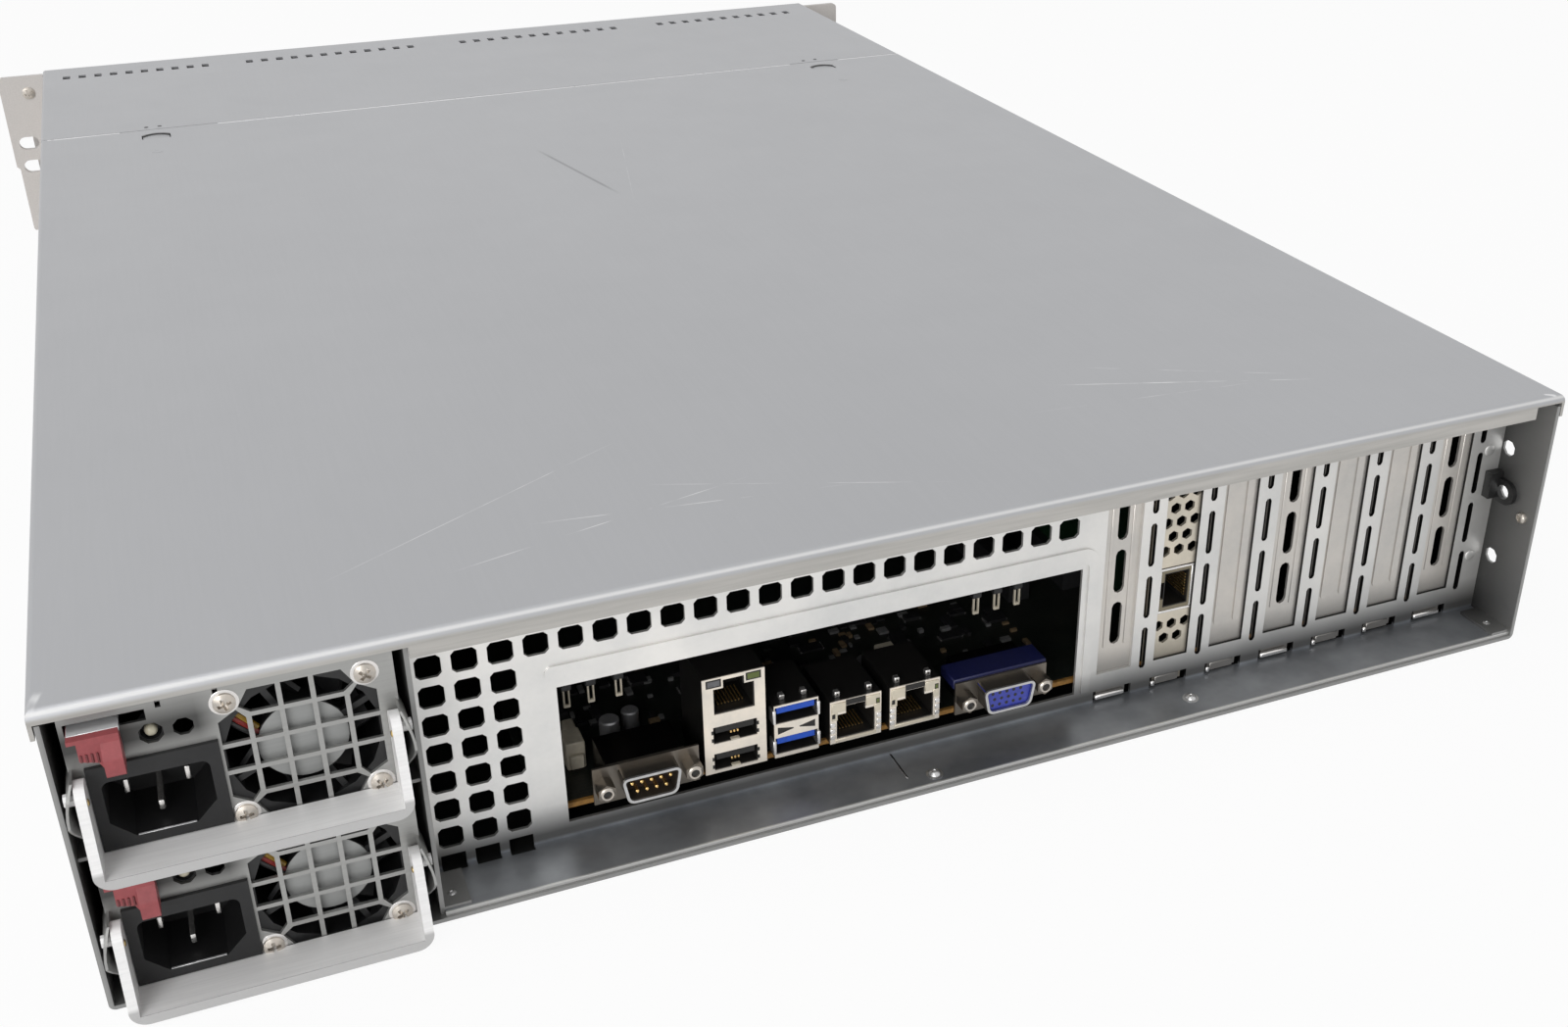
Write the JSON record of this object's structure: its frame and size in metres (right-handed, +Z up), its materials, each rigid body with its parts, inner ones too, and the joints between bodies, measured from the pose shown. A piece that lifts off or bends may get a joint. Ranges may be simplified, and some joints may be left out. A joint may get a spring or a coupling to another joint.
{
  "type": "rack server",
  "caption": "Two-unit rack server with a slide-off cover, twin pull-out power supplies, hot-swap drive carriers, rear port window and low-profile expansion slots.",
  "frame": {"origin": "underside of the tray, on the centre plane, level with the back faces of the rack ears", "axes": "+X to the right seen from the front, +Y from front to rear, +Z up"},
  "size_m": [0.4826, 0.688, 0.088],
  "materials": {
    "plated_steel": "pre-plated sheet steel, satin with a faint blotch",
    "cover_steel": "pre-plated sheet steel, satin, lightly scratched",
    "slot_cover_steel": "thin pressed sheet, satin",
    "nickel_bracket": "warm nickel plate",
    "port_nickel": "nickel plate",
    "psu_steel": "zinc-plated sheet steel",
    "handle_steel": "satin silver",
    "bare_aluminium": "milled",
    "ear_paint": "warm light grey, satin",
    "black_steel": "black",
    "dark_plastic": "black, matt",
    "lever_plastic": "dark grey, matt",
    "maroon_plastic": "maroon, satin",
    "black_board": "near-black circuit board",
    "green_board": "green circuit board"
  },
  "bodies": {
    "chassis": {"chassis_tray": "plated_steel", "rear_panel": "plated_steel", "front_deck": "cover_steel", "psu_bay": "plated_steel", "drive_cage": "plated_steel", "drive_backplane": "green_board", "fan_bulkhead": "plated_steel", "fan_frames": "dark_plastic", "motherboard": "black_board", "cpu_heatsinks": "bare_aluminium", "memory_modules": "green_board", "expansion_sockets": "dark_plastic", "serial_port": "port_nickel", "lan_usb_stack": "port_nickel", "usb3_stack": "port_nickel", "lan_jacks": "port_nickel", "vga_port": "port_nickel", "slot_covers_vented": "slot_cover_steel", "slot_covers_ribbed": "slot_cover_steel", "nic_bracket": "nickel_bracket", "nic_card": "green_board", "rack_ear_left": "ear_paint", "rack_ear_right": "ear_paint", "pull_handles": "ear_paint", "lock_loop": "black_steel"},
    "cover": {"top_cover": "cover_steel"},
    "latch_right": {"cover_latch_right": "plated_steel"},
    "latch_left": {"cover_latch_left": "plated_steel"},
    "rotor_1": {"fan_rotor_1": "dark_plastic"},
    "rotor_2": {"fan_rotor_2": "dark_plastic"},
    "rotor_3": {"fan_rotor_3": "dark_plastic"},
    "power_button": {"power_button": "dark_plastic"},
    "psu_1": {"psu_1_case": "psu_steel", "psu_1_inlet": "dark_plastic", "psu_1_fan_frame": "dark_plastic"},
    "psu_1_rotor": {"psu_1_fan_rotor": "dark_plastic"},
    "psu_1_bail": {"psu_1_handle": "handle_steel"},
    "psu_1_release": {"psu_1_latch": "maroon_plastic"},
    "psu_2": {"psu_2_case": "psu_steel", "psu_2_inlet": "dark_plastic", "psu_2_fan_frame": "dark_plastic"},
    "psu_2_rotor": {"psu_2_fan_rotor": "dark_plastic"},
    "psu_2_bail": {"psu_2_handle": "handle_steel"},
    "psu_2_release": {"psu_2_latch": "maroon_plastic"},
    "carrier_1": {"drive_carrier_1": "dark_plastic"},
    "lever_1": {"carrier_lever_1": "lever_plastic"},
    "carrier_2": {"drive_carrier_2": "dark_plastic"},
    "lever_2": {"carrier_lever_2": "lever_plastic"},
    "carrier_3": {"drive_carrier_3": "dark_plastic"},
    "lever_3": {"carrier_lever_3": "lever_plastic"},
    "carrier_4": {"drive_carrier_4": "dark_plastic"},
    "lever_4": {"carrier_lever_4": "lever_plastic"},
    "carrier_5": {"drive_carrier_5": "dark_plastic"},
    "lever_5": {"carrier_lever_5": "lever_plastic"},
    "carrier_6": {"drive_carrier_6": "dark_plastic"},
    "lever_6": {"carrier_lever_6": "lever_plastic"},
    "carrier_7": {"drive_carrier_7": "dark_plastic"},
    "lever_7": {"carrier_lever_7": "lever_plastic"},
    "carrier_8": {"drive_carrier_8": "dark_plastic"},
    "lever_8": {"carrier_lever_8": "lever_plastic"}
  },
  "joints": [
    {"name": "cover_slide", "type": "slide", "parent": "chassis", "child": "cover", "axis": [0, 1, 0], "range_m": [0, 0.505]},
    {"name": "cover_latch_right_press", "type": "hinge", "parent": "cover", "child": "latch_right", "pos_m": [0.1683, 0.194, 0.0863], "axis": [1, 0, 0], "range_deg": [0, 3], "stiffness_Nm_per_rad": 0.6},
    {"name": "cover_latch_left_press", "type": "hinge", "parent": "cover", "child": "latch_left", "pos_m": [-0.1683, 0.194, 0.0863], "axis": [1, 0, 0], "range_deg": [0, 3], "stiffness_Nm_per_rad": 0.6},
    {"name": "fan_1_spin", "type": "hinge", "parent": "chassis", "child": "rotor_1", "pos_m": [-0.14, 0.185, 0.0412], "axis": [0, 1, 0], "continuous": true},
    {"name": "fan_2_spin", "type": "hinge", "parent": "chassis", "child": "rotor_2", "pos_m": [0, 0.185, 0.0412], "axis": [0, 1, 0], "continuous": true},
    {"name": "fan_3_spin", "type": "hinge", "parent": "chassis", "child": "rotor_3", "pos_m": [0.14, 0.185, 0.0412], "axis": [0, 1, 0], "continuous": true},
    {"name": "power_button_press", "type": "slide", "parent": "chassis", "child": "power_button", "axis": [0, 1, 0], "range_m": [0, 0.0015], "stiffness_N_per_m": 300},
    {"name": "psu_1_slide", "type": "slide", "parent": "chassis", "child": "psu_1", "axis": [0, 1, 0], "range_m": [0, 0.345]},
    {"name": "psu_1_fan_spin", "type": "hinge", "parent": "psu_1", "child": "psu_1_rotor", "pos_m": [0.1615, 0.6255, 0.0632], "axis": [0, 1, 0], "continuous": true},
    {"name": "psu_1_handle_swing", "type": "hinge", "parent": "psu_1", "child": "psu_1_bail", "pos_m": [0.1758, 0.6455, 0.065], "axis": [1, 0, 0], "range_deg": [0, 90]},
    {"name": "psu_1_release_press", "type": "hinge", "parent": "psu_1", "child": "psu_1_release", "pos_m": [0.2109, 0.598, 0.0753], "axis": [0, 0, 1], "range_deg": [0, 4], "stiffness_Nm_per_rad": 1.2},
    {"name": "psu_2_slide", "type": "slide", "parent": "chassis", "child": "psu_2", "axis": [0, 1, 0], "range_m": [0, 0.345]},
    {"name": "psu_2_fan_spin", "type": "hinge", "parent": "psu_2", "child": "psu_2_rotor", "pos_m": [0.1615, 0.6255, 0.0216], "axis": [0, 1, 0], "continuous": true},
    {"name": "psu_2_handle_swing", "type": "hinge", "parent": "psu_2", "child": "psu_2_bail", "pos_m": [0.1758, 0.6455, 0.0234], "axis": [1, 0, 0], "range_deg": [0, 90]},
    {"name": "psu_2_release_press", "type": "hinge", "parent": "psu_2", "child": "psu_2_release", "pos_m": [0.2109, 0.598, 0.0337], "axis": [0, 0, 1], "range_deg": [0, 4], "stiffness_Nm_per_rad": 1.2},
    {"name": "carrier_1_slide", "type": "slide", "parent": "chassis", "child": "carrier_1", "axis": [0, -1, 0], "range_m": [0, 0.15]},
    {"name": "carrier_1_lever", "type": "hinge", "parent": "carrier_1", "child": "lever_1", "pos_m": [-0.2076, -0.0056, 0.0146], "axis": [0, 0, -1], "range_deg": [0, 75]},
    {"name": "carrier_2_slide", "type": "slide", "parent": "chassis", "child": "carrier_2", "axis": [0, -1, 0], "range_m": [0, 0.15]},
    {"name": "carrier_2_lever", "type": "hinge", "parent": "carrier_2", "child": "lever_2", "pos_m": [-0.099, -0.0056, 0.0146], "axis": [0, 0, -1], "range_deg": [0, 75]},
    {"name": "carrier_3_slide", "type": "slide", "parent": "chassis", "child": "carrier_3", "axis": [0, -1, 0], "range_m": [0, 0.15]},
    {"name": "carrier_3_lever", "type": "hinge", "parent": "carrier_3", "child": "lever_3", "pos_m": [0.009, -0.0056, 0.0146], "axis": [0, 0, -1], "range_deg": [0, 75]},
    {"name": "carrier_4_slide", "type": "slide", "parent": "chassis", "child": "carrier_4", "axis": [0, -1, 0], "range_m": [0, 0.15]},
    {"name": "carrier_4_lever", "type": "hinge", "parent": "carrier_4", "child": "lever_4", "pos_m": [0.117, -0.0056, 0.0146], "axis": [0, 0, -1], "range_deg": [0, 75]},
    {"name": "carrier_5_slide", "type": "slide", "parent": "chassis", "child": "carrier_5", "axis": [0, -1, 0], "range_m": [0, 0.15]},
    {"name": "carrier_5_lever", "type": "hinge", "parent": "carrier_5", "child": "lever_5", "pos_m": [-0.2076, -0.0056, 0.0426], "axis": [0, 0, -1], "range_deg": [0, 75]},
    {"name": "carrier_6_slide", "type": "slide", "parent": "chassis", "child": "carrier_6", "axis": [0, -1, 0], "range_m": [0, 0.15]},
    {"name": "carrier_6_lever", "type": "hinge", "parent": "carrier_6", "child": "lever_6", "pos_m": [-0.099, -0.0056, 0.0426], "axis": [0, 0, -1], "range_deg": [0, 75]},
    {"name": "carrier_7_slide", "type": "slide", "parent": "chassis", "child": "carrier_7", "axis": [0, -1, 0], "range_m": [0, 0.15]},
    {"name": "carrier_7_lever", "type": "hinge", "parent": "carrier_7", "child": "lever_7", "pos_m": [0.009, -0.0056, 0.0426], "axis": [0, 0, -1], "range_deg": [0, 75]},
    {"name": "carrier_8_slide", "type": "slide", "parent": "chassis", "child": "carrier_8", "axis": [0, -1, 0], "range_m": [0, 0.15]},
    {"name": "carrier_8_lever", "type": "hinge", "parent": "carrier_8", "child": "lever_8", "pos_m": [0.117, -0.0056, 0.0426], "axis": [0, 0, -1], "range_deg": [0, 75]}
  ]
}
